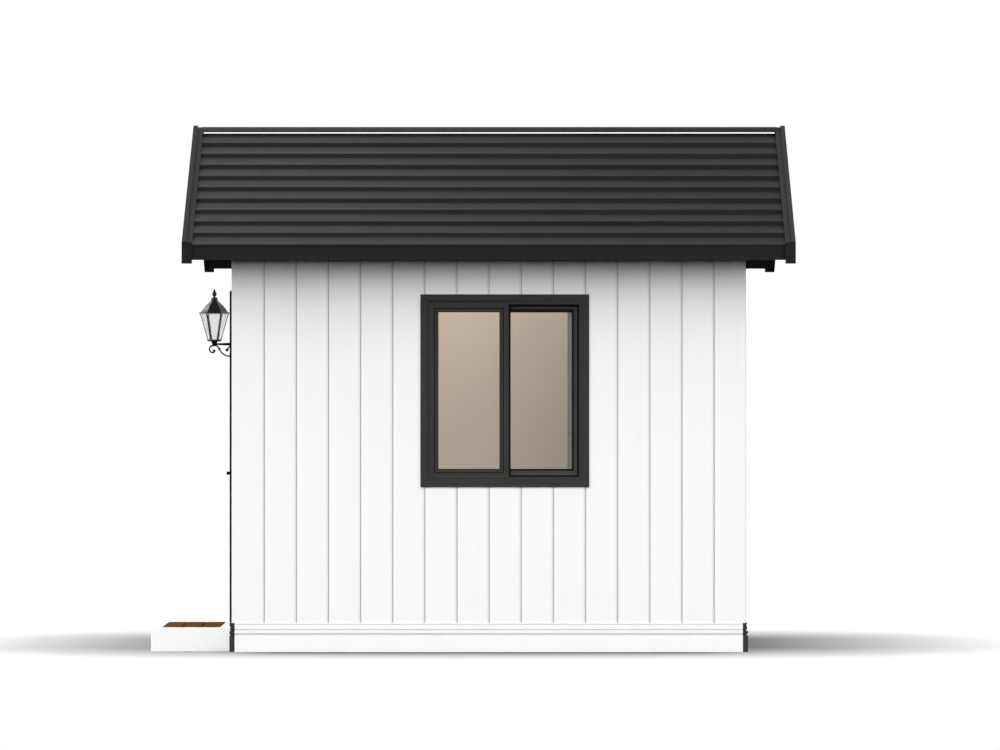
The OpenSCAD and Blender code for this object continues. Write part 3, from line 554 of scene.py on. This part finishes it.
# %% Turn an outline round an axis
def turn_round(shape, outline, place, pointing, sides=12):
    """Outline points are (radius, height), from the foot to the tip of the turned form."""
    upright = Vector(pointing).to_track_quat("Z", "Y")
    rings = []
    for radius, height in outline:
        count = sides if radius else 1
        spokes = [2 * math.pi * i / sides for i in range(count)]
        rings.append([
            shape.verts.new(Vector(place) + upright @ Vector(
                (radius * math.cos(turn), radius * math.sin(turn), height)))
            for turn in spokes])
    for low, high in zip(rings, rings[1:]):
        for i in range(sides):
            corners = [low[i % len(low)], low[(i + 1) % len(low)],
                       high[(i + 1) % len(high)], high[i % len(high)]]
            shape.faces.new(list(dict.fromkeys(corners)))


PAN_HEAD = [(1.0, 0.0), (1.0, 0.18), (0.82, 0.46), (0.45, 0.60), (0.36, 0.56), (0.34, 0.22),
            (0, 0.22)]


def screw(shape, place, pointing, radius):
    """A pan head with a round socket."""
    turn_round(shape, [(a * radius, b * radius) for a, b in PAN_HEAD], place, pointing)


# %% Turn a shape into a piece
def make_piece(name, shape, finish, body):
    """Links a shape as a named piece that rides on a body and takes its finish from a slot."""
    bmesh.ops.recalc_face_normals(shape, faces=shape.faces)
    mesh = bpy.data.meshes.new(name)
    shape.to_mesh(mesh)
    shape.free()
    mesh.polygons.foreach_set("use_smooth", [True] * len(mesh.polygons))
    mesh.set_sharp_from_angle(angle=math.radians(35))
    mesh.materials.append(finish.material)
    made = bpy.data.objects.new(name, mesh)
    bpy.context.scene.collection.objects.link(made)
    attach(made, body)
    print(name, len(mesh.polygons), "faces")


# %% [markdown]
# ## Glazing
# A glazing unit is two panes held apart by a grey metal spacer, and it sits in the sash on a
# black rubber gasket. The fixed sash on the left has a narrow gasket, and a rubber line at the
# foot of the step that leads down to its bead. The sliding sash on the right sits deeper, so
# its gasket is a broad flat band with a deeper flap along the head, and a second band seals
# it against the edge of the frame.

# %% Finish the rubber and the spacers
rubber = Finish("gasket_rubber", Specular_IOR_Level=0.08)
rubber.link("Base Color", blend(grey(0.006), (0.012, 0.012, 0.011), noise(rubber.place, 0.01)))
rubber.link("Roughness", 0.55 + 0.2 * noise(rubber.place, 0.003))
rubber.relief(noise(rubber.place, 0.002), 0.0001)
spacer_metal = Finish("spacer_metal", Metallic=0.6)
tarnish = noise(spacer_metal.place, 0.02)
spacer_metal.link("Base Color", blend((0.42, 0.41, 0.40), (0.34, 0.33, 0.32), tarnish))
spacer_metal.link("Roughness", 0.45 + 0.2 * noise(spacer_metal.place, 0.004))


# %% Fit the gaskets and the spacers
def sight(name, margin, top_margin):
    """The opening left in a sash, as x and z pairs, and the place of the sash's face."""
    low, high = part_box(name)
    return (low.x + margin, high.x - margin), (low.z + margin, high.z - top_margin), low.y


def band(width, height):
    """A flat rubber band with rounded edges that lies width inwards from the rectangle."""
    return [(0.0002, 0.0), (0.0002, height - 0.0006), (0.0010, height), (width - 0.0010, height),
            (width, height - 0.0006), (width, 0.0)]


out_front = Vector((0, -1, 0))
out_back = Vector((0, 1, 0))
glass_depth = 0.011
glass_thick = 0.014
narrow = [(0.0002, 0.0), (0.0002, 0.0032), (0.0016, 0.0040), (0.0034, 0.0030), (0.0045, 0.0)]
broad = band(width=0.0125, height=0.0072)
flap = [(0.0120, 0.0), (0.0120, 0.0066), (0.0209, 0.0066), (0.0215, 0.0058), (0.0215, 0.0)]
flap_inset = 0.012
spacer_outline = [(-0.004, -0.004), (-0.004, -0.010), (0.0032, -0.010), (0.0038, -0.007),
                  (0.0032, -0.004)]
# each pane has its sight, the place of its sash's face, its gasket, and what the gasket hides
panes = {
    "left": (*sight("window_sash_left", margin=0.053, top_margin=0.061), narrow, 0.0),
    "right": (*sight("window_sash_right", margin=0.045, top_margin=0.045), broad, 0.008),
}
for which, (sight_x, sight_z, face_y, outline, hidden) in panes.items():
    gasket, spacer = bmesh.new(), bmesh.new()
    glass_y = face_y + glass_depth
    front = rectangle(sight_x, glass_y, sight_z)
    back = rectangle(sight_x, glass_y + glass_thick, sight_z)
    run_round(gasket, front, outline, out_front)
    run_round(gasket, back, narrow, out_back)
    if which == "right":
        run_straight(gasket, [[(x, glass_y - b, sight_z[1] - a) for a, b in flap]
                              for x in (sight_x[0] + flap_inset, sight_x[1] - flap_inset)])
    run_round(spacer, front, [(a + hidden, b) for a, b in spacer_outline], out_front)
    make_piece(f"pane_gasket_{which}", gasket, rubber, "house")
    make_piece(f"pane_spacer_{which}", spacer, spacer_metal, "house")

# %% Fit the line on the fixed sash
(left_x, right_x), (low_z, high_z), face_y = panes["left"][:3]
bead_width = 0.022
bead_depth = 0.003
line_outline = [(0.0001, 0.0), (0.0001, 0.0012), (0.0008, 0.0016), (0.0048, 0.0016), (0.0054, 0.0)]
bead_x = (left_x - bead_width, right_x + bead_width)
bead_z = (low_z - bead_width, high_z + bead_width)
line = bmesh.new()
run_round(line, rectangle(bead_x, face_y + bead_depth, bead_z), line_outline, out_front)
make_piece("bead_line", line, rubber, "house")

# %% Fit the seal round the sliding sash
frame_low, frame_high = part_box("window_frame")
frame_width = 0.063
fixed_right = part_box("window_sash_left")[1].x
open_x = (fixed_right + 0.001, frame_high.x - frame_width)
open_z = (frame_low.z + frame_width, frame_high.z - frame_width)
seal_y = panes["right"][2] - 0.0006
seal_band = bmesh.new()
run_round(seal_band, rectangle(open_x, seal_y, open_z), band(0.0115, 0.0082), out_front)
make_piece("sliding_sash_seal", seal_band, rubber, "house")

# %% [markdown]
# ## The pull of the inner sash
# The inner sash has no handle. It is slid by a pale aluminium strip on the room side of its
# closing stile, hooked so that fingers can take hold. Through the glass it is a narrow light
# edge down the right of the pane.

# %% Fit the pull
strip_metal = Finish("pull_strip_metal", Metallic=0.3)
drawn = noise(strip_metal.place, 0.0008, (1, 1, 40), detail=2.0)
strip_metal.link("Base Color", blend((0.30, 0.31, 0.32), (0.24, 0.245, 0.25), drawn))
strip_metal.link("Roughness", 0.35 + 0.15 * drawn)
strip_metal.relief(drawn, 0.00005)
(_, stile_x), (low_z, high_z), face_y = panes["right"][:3]
glass_back = face_y + glass_depth + glass_thick
end_gap = 0.004
hook = [(0.006, 0.009), (0.006, 0.012), (-0.038, 0.012), (-0.040, 0.008), (-0.040, 0.003),
        (-0.037, 0.0015), (-0.035, 0.003), (-0.035, 0.007), (-0.033, 0.009)]
pull = bmesh.new()
run_straight(pull, [[(stile_x + a, glass_back + b, z) for a, b in hook]
                    for z in (low_z + end_gap, high_z - end_gap)])
make_piece("sash_pull_strip", pull, strip_metal, "house")

# %% [markdown]
# ## Drain caps
# Rain that gets into the tracks leaves through two slots in the lower face of the frame. Each
# slot has a small hood over it, a long half-round in the colour of the frame. Its rows of
# points follow one outline that swells out of the frame and sinks back into it.

# %% Fit the drain caps
hood = [(0.0, 0.0), (0.0035, 0.0012), (0.006, 0.0042), (0.006, 0.0065), (0.0, 0.0080)]
hood_swell = [(-0.018, 0.0), (-0.015, 0.8), (0.0, 1.0), (0.015, 0.8), (0.018, 0.0)]
hood_foot = frame_low.z + 0.018
caps = bmesh.new()
for share in (0.2, 0.8):
    middle_x = frame_low.x + share * (frame_high.x - frame_low.x)
    rows = [[caps.verts.new((middle_x + x, frame_low.y - a * swell, hood_foot + b))
             for x, swell in hood_swell] for a, b in hood]
    for low_row, high_row in zip(rows, rows[1:]):
        for i in range(len(hood_swell) - 1):
            caps.faces.new((low_row[i], low_row[i + 1], high_row[i + 1], high_row[i]))
make_piece("window_drain_caps", caps, joinery, "house")

# %% [markdown]
# ## The door's fittings
# A rubber seal stands on the outer lip of the frame, where the leaf closes against it. A
# ribbed metal plate saves the threshold. Below the lever sits a lock cylinder on each face,
# and countersunk screws hold the flaps of the hinges.

# %% Fit the seal
jamb_low, jamb_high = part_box("door_frame")
leaf_low, leaf_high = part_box("door_leaf")
jamb_width = 0.050
sill_height = 0.030
lip = 0.016
lip_x = jamb_low.x + 0.013
door_y = (jamb_low.y + jamb_width, jamb_high.y - jamb_width)
seal_y = (door_y[0] + lip, door_y[1] - lip)
seal_z = (jamb_low.z + sill_height + lip, jamb_high.z - jamb_width - lip)
bulb_outline = [(-0.0100, 0.0), (-0.0105, 0.0018), (-0.0085, 0.0032), (-0.0055, 0.0036),
                (-0.0030, 0.0028), (-0.0020, 0.0012), (-0.0025, 0.0)]
seal = bmesh.new()
run_round(seal, rectangle(lip_x, seal_y, seal_z), bulb_outline, Vector((1, 0, 0)))
make_piece("door_seal", seal, rubber, "house")

# %% Fit the threshold plate
plate_width = 0.0545
rib_spacing = 0.0065
rib = [(0.0, 0.0012), (0.0012, 0.0022), (0.0036, 0.0022), (0.0048, 0.0012)]
ribs = [(0.002 + rib_spacing * i + a, b) for i in range(8) for a, b in rib]
plate = [(0.0, 0.0), *ribs, (plate_width, 0.0)]
plate_x = lip_x + 0.006
plate_z = jamb_low.z + sill_height
threshold = bmesh.new()
run_straight(threshold, [[(plate_x + a, y, plate_z + b) for a, b in plate]
                         for y in (door_y[0] + 0.001, door_y[1] - 0.001)])
make_piece("threshold_plate", threshold, steel, "house")

# %% Fit the lock cylinders
handle_low, handle_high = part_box("door_handle")
lock_y = leaf_high.y - 0.050
lock_z = (handle_low.z + handle_high.z) / 2 - 0.070
face_rise = 0.008
cylinders = bmesh.new()
barrel = [(0.0145, 0.0), (0.0145, 0.0035), (0.0135, 0.0045), (0.0088, 0.0048), (0.0085, 0.0075),
          (0.0075, 0.0085), (0.0020, 0.0085), (0.0016, 0.0050), (0, 0.0050)]
for x, outwards in ((leaf_low.x - face_rise, -1), (leaf_high.x + face_rise, 1)):
    turn_round(cylinders, barrel, (x, lock_y, lock_z), (outwards, 0, 0), 24)
make_piece("lock_cylinders", cylinders, steel, "door")

# %% Set the hinge screws
pin_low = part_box("door_hinge_pins")[0]
knuckle_low, knuckle_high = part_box("door_hinge_knuckles")
knuckle_length = 0.0323
hinge_zs = (knuckle_low.z + knuckle_length / 2, (knuckle_low.z + knuckle_high.z) / 2,
            knuckle_high.z - knuckle_length / 2)
countersunk = [(0.0036, 0.0), (0.0036, 0.0004), (0.0018, 0.0005), (0.0015, -0.0008), (0, -0.0008)]
flap_x = leaf_high.x + 0.003
jamb_flap_y = pin_low.y + 0.012
leaf_screws = bmesh.new()
jamb_screws = bmesh.new()
for z in hinge_zs:
    for inset in (0.014, 0.030):
        turn_round(leaf_screws, countersunk, (flap_x, leaf_low.y + inset, z), (1, 0, 0))
    for rise in (-0.036, 0.036):
        turn_round(jamb_screws, countersunk, (flap_x, jamb_flap_y, z + rise), (1, 0, 0))
make_piece("hinge_screws_leaf", leaf_screws, steel, "door")
make_piece("hinge_screws_jamb", jamb_screws, steel, "house")

# %% [markdown]
# ## Screws in the step and the roof trims
# Each plank is held by two screws near its ends and two in the middle, sunk just below the
# wood. The ridge cap and the verge trims are fixed with pan heads in the colour of the coat.

# %% Screw down the planks
plank_low, plank_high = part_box("step_planks")
plank_width, plank_gap = 0.111, 0.008
side_inset, end_inset = 0.022, 0.035
sunk = [(0.0044, -0.0012), (0.0044, -0.0002), (0.0024, -0.0004), (0.0020, -0.0014), (0, -0.0014)]
screw_ys = (plank_low.y + end_inset, (plank_low.y + plank_high.y) / 2, plank_high.y - end_inset)
plank_screws = bmesh.new()
for i in range(3):
    plank_x = plank_low.x + i * (plank_width + plank_gap)
    for x in (plank_x + side_inset, plank_x + plank_width - side_inset):
        for y in screw_ys:
            turn_round(plank_screws, sunk, (x, y, plank_high.z), (0, 0, 1))
make_piece("plank_screws", plank_screws, steel, "house")

# %% Screw down the ridge cap
pitch = math.radians(22.5)
ridge_count = 12
ridge_inset = 0.10
ridge_reach = 0.022
ridge_spacing = (cap_high.x - cap_low.x - 2 * ridge_inset) / (ridge_count - 1)
ridge_z = cap_high.z - ridge_reach * math.tan(pitch) - 0.0008
roof_screws = bmesh.new()
for side_y in (-1, 1):
    upwards = (0, side_y * math.sin(pitch), math.cos(pitch))
    for i in range(ridge_count):
        x = cap_low.x + ridge_inset + i * ridge_spacing
        screw(roof_screws, (x, side_y * ridge_reach, ridge_z), upwards, 0.006)
make_piece("ridge_screws", roof_screws, roof_trim, "house")

# %% Screw on the verge trims
trim_low, trim_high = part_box("barge_front_near")
verge_ys = [0.18 + i * 0.38 for i in range(5)]
below_top = 0.075
recess = 0.0035
verge_screws = bmesh.new()
for end_x, outwards in ((trim_low.x, -1), (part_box("barge_back_near")[1].x, 1)):
    x = end_x - outwards * recess
    for side_y in (-1, 1):
        for y in verge_ys:
            z = trim_high.z - y * math.tan(pitch) - below_top
            screw(verge_screws, (x, side_y * y, z), (outwards, 0, 0), 0.0058)
make_piece("verge_screws", verge_screws, roof_trim, "house")

# %% [markdown]
# ## Inside the lantern
# Seen from outside the lantern looks empty, so its light is a flat white disc of diodes that
# hangs on a short stem under the crown of the roof. Four dome nuts hold the bracket's plate
# to the wall.

# %% Hang the light disc
roof_low, roof_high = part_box("lantern_roof")
lamp_x, lamp_y = ((roof_low + roof_high) / 2).xy
disc_z = roof_low.z + 0.014
ceramic = Finish("disc_white", Specular_IOR_Level=0.3)
ceramic.link("Base Color", blend((0.90, 0.90, 0.88), (0.84, 0.84, 0.82), noise(ceramic.place, 0.02)))
ceramic.link("Roughness", 0.30 + 0.1 * noise(ceramic.place, 0.01))
disc_outline = [(0, 0.0), (0.0300, 0.0), (0.0330, 0.0015), (0.0340, 0.0045), (0.0330, 0.0075),
                (0.0150, 0.0095), (0.0085, 0.0115), (0.0070, 0.0180), (0.0070, 0.0700),
                (0, 0.0700)]
disc = bmesh.new()
turn_round(disc, disc_outline, (lamp_x, lamp_y, disc_z), (0, 0, 1), 32)
make_piece("lamp_disc", disc, ceramic, "house")

# %% Bolt the bracket to the wall
dome_nut = [(0.0075, 0.0), (0.0075, 0.0010), (0.0055, 0.0014), (0.0055, 0.0050), (0.0048, 0.0064),
            (0.0030, 0.0078), (0, 0.0083)]
plate_face = -wall_face - 0.008
nut_zs = (1.830, 1.945)
nuts = bmesh.new()
for y in (lamp_y - 0.016, lamp_y + 0.016):
    for z in nut_zs:
        turn_round(nuts, dome_nut, (plate_face, y, z), (-1, 0, 0))
make_piece("bracket_nuts", nuts, forged, "house")

# %% [markdown]
# ## A pale floor and a white sky
# The studio is a pale floor under an even white dome, which gives the soft, nearly shadowless
# light of an overcast day. The dome lights the house at a level where a white wall reads as
# the white that it was given. The camera itself sees a plain white, whatever the dome's
# strength is, and so do mirrors and glass.

# %% Build the sky
world = bpy.data.worlds.new("white_dome")
bpy.context.scene.world = world
world.use_nodes = True
sky = Wire(world.node_tree)
seen = sky.node("ShaderNodeLightPath", output="Is Camera Ray")
for ray in ("Is Glossy Ray", "Is Transmission Ray"):
    seen = seen.at_least(sky.node("ShaderNodeLightPath", output=ray))
dome_strength = 2.10
strength = dome_strength - seen * (dome_strength - 1.0)
lit = world.node_tree.nodes["Background"]
lit.inputs["Color"].default_value = (1.0, 1.0, 1.0, 1.0)
world.node_tree.links.new(strength.socket, lit.inputs["Strength"])
print("dome strength:", dome_strength)

# %% [markdown]
# ## The floor
# The floor is deep grey close to the walls and pale three metres out, as painted shadow on
# top of the house's real shadow. For light that bounces off it, it is black, so that the eaves
# keep their shade. A mirror sees it black too, and white only far off, so that polished parts
# stay dark below. No lit floor comes out exactly as bright as the sky behind it, so what the
# camera and the glass see fades into a plain white where the floor ends. That takes a mix of
# two shaders, because a colour alone stays lit.

# %% Colour the floor
floor_finish = Finish("studio_floor", Roughness=0.9, Specular_IOR_Level=0.0)
out_x = size_of(axis(floor_finish.place, "X"))
out_y = size_of(axis(floor_finish.place, "Y"))
shade_core = 0.7
shade_reach = 2.9
away_x = (out_x - wall_face).at_least(0.0)
away_y = (out_y - shade_core).at_least(0.0) * 0.8
square = away_x * away_x + away_y * away_y
away = square.maths("POWER", square, 0.5)
# Painted shadow: the floor darkens close to the house, on top of its real shadow.
deep, pale, black = grey(0.145), grey(0.80), grey(0.0)
close = ramp(out_y, 2.7, wall_face)
painted_wall_shadow = close * close * ramp(out_x, 1.8, 1.2)
shaded_floor = blend(blend(deep, pale, away * (1 / shade_reach)), deep, painted_wall_shadow)
mirrored = blend(black, grey(1 / dome_strength), ramp(away, 6.0, 8.0))
in_mirrors = floor_finish.place.node("ShaderNodeLightPath", output="Is Glossy Ray")
bounced = floor_finish.place.node("ShaderNodeLightPath", output="Is Diffuse Ray")
shown = blend(shaded_floor, mirrored, in_mirrors)
floor_finish.link("Base Color", blend(shown, black, bounced))

# %% Let the far floor meet the sky
plain_white = floor_finish.place.node("ShaderNodeEmission", None, {
    "Color": (1.0, 1.0, 1.0, 1.0), "Strength": 1.0})
looked_at = floor_finish.place.node("ShaderNodeLightPath", output="Is Camera Ray")
through_glass = floor_finish.place.node("ShaderNodeLightPath", output="Is Transmission Ray")
far_off = ramp(away, 2.4, shade_reach)
floor_shader = Wire(floor_finish.tree, floor_finish.shader.outputs["BSDF"])
faded_out = floor_shader.node("ShaderNodeMixShader", None, {
    0: looked_at.at_least(through_glass) * far_off, 1: floor_shader, 2: plain_white})
surface_in = floor_finish.tree.nodes["Material Output"].inputs["Surface"]
floor_finish.tree.links.new(faded_out.socket, surface_in)
print("the floor is plain white", shade_reach, "m from the house")

# %% Lay the floor
floor_side = 1600.0
bpy.ops.mesh.primitive_plane_add(size=1)
floor = bpy.context.object
floor.name = "studio_floor"
floor.data.transform(Matrix.Diagonal((floor_side, floor_side, 1.0, 1.0)))
floor.data.materials.append(floor_finish.material)
bpy.context.scene.view_settings.view_transform = "Standard"
print("floor:", floor_side, "m square")

# %% [markdown]
# ## Three lamps
# The first stands high on the left and gives the metal of the lantern its bright side. It
# shows in mirrors only, or the white gable beside it would burn out. The second hangs under
# the ceiling of the room and keeps the view through the window warm. The third lies on the
# floor of the room, cool and faint, as daylight that comes back off the boards.


# %% Add the lamps
def area_lamp(name, place, target, size, power, colour):
    """Hangs a square lamp of the given size in metres and points it at a target."""
    data = bpy.data.lights.new(name, "AREA")
    data.shape = "SQUARE"
    data.size = size
    data.energy = power
    data.color = colour
    lamp = bpy.data.objects.new(name, data)
    lamp.location = place
    lamp.rotation_euler = (Vector(target) - lamp.location).to_track_quat("-Z", "Y").to_euler()
    bpy.context.scene.collection.objects.link(lamp)
    print(name, power, "W")
    return lamp


high_left = area_lamp("high_left", (-6.5, 5.0, 5.6), (-1.9, -0.1, 2.2),
                      size=1.4, power=60.0, colour=(1.0, 1.0, 1.0))
high_left.visible_diffuse = False
area_lamp("room_lamp", (-0.3, 0.3, 2.55), (-0.3, 0.3, 0.0),
          size=2.2, power=30.0, colour=(1.0, 0.95, 0.88))
area_lamp("floor_glow", (0.0, 0.1, 0.25), (0.0, 0.1, 2.0),
          size=2.4, power=8.5, colour=(0.74, 0.81, 1.0))
